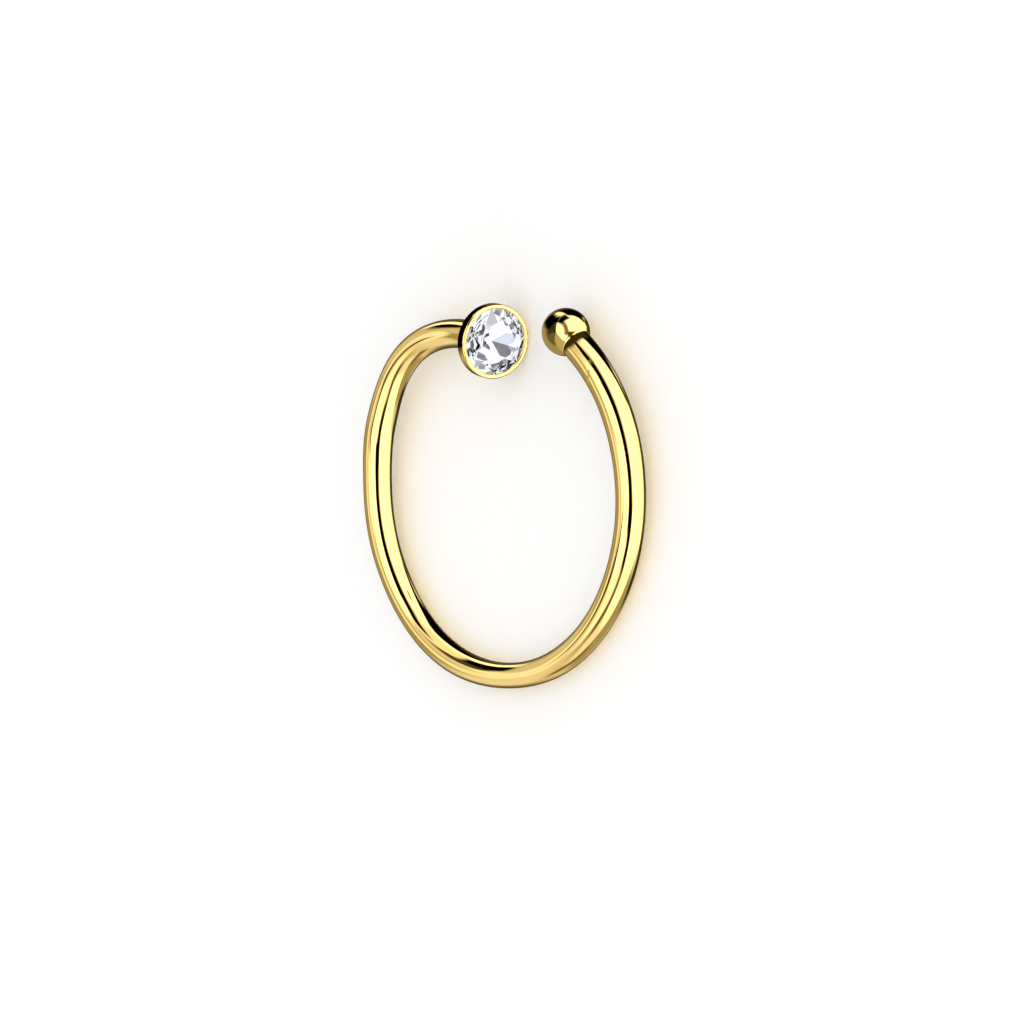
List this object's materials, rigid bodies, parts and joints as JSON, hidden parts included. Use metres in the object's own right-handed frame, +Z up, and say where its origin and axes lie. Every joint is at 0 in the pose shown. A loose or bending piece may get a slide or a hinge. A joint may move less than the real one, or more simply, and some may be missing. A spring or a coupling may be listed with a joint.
{
  "type": "nose ring",
  "caption": "Open round hoop of polished gold-plated wire for a nostril, with a ball on one end and a round clear crystal in a small cup on the other.",
  "frame": {"origin": "middle of the bounding box, at the surface that the ring lies on", "axes": "+Z up, nearly along the hoop's axis, with the ring lying on its side; +Y from the hoop's centre towards the gap; +X towards the side that the crystal faces"},
  "size_m": [0.01, 0.0096, 0.0019],
  "materials": {
    "gold_plate": "mirror-polished yellow gold plating",
    "crystal_glass": "clear cut crystal with a silver foil back"
  },
  "bodies": {
    "root": {"hoop": "gold_plate", "crystal": "crystal_glass"}
  },
  "joints": []
}
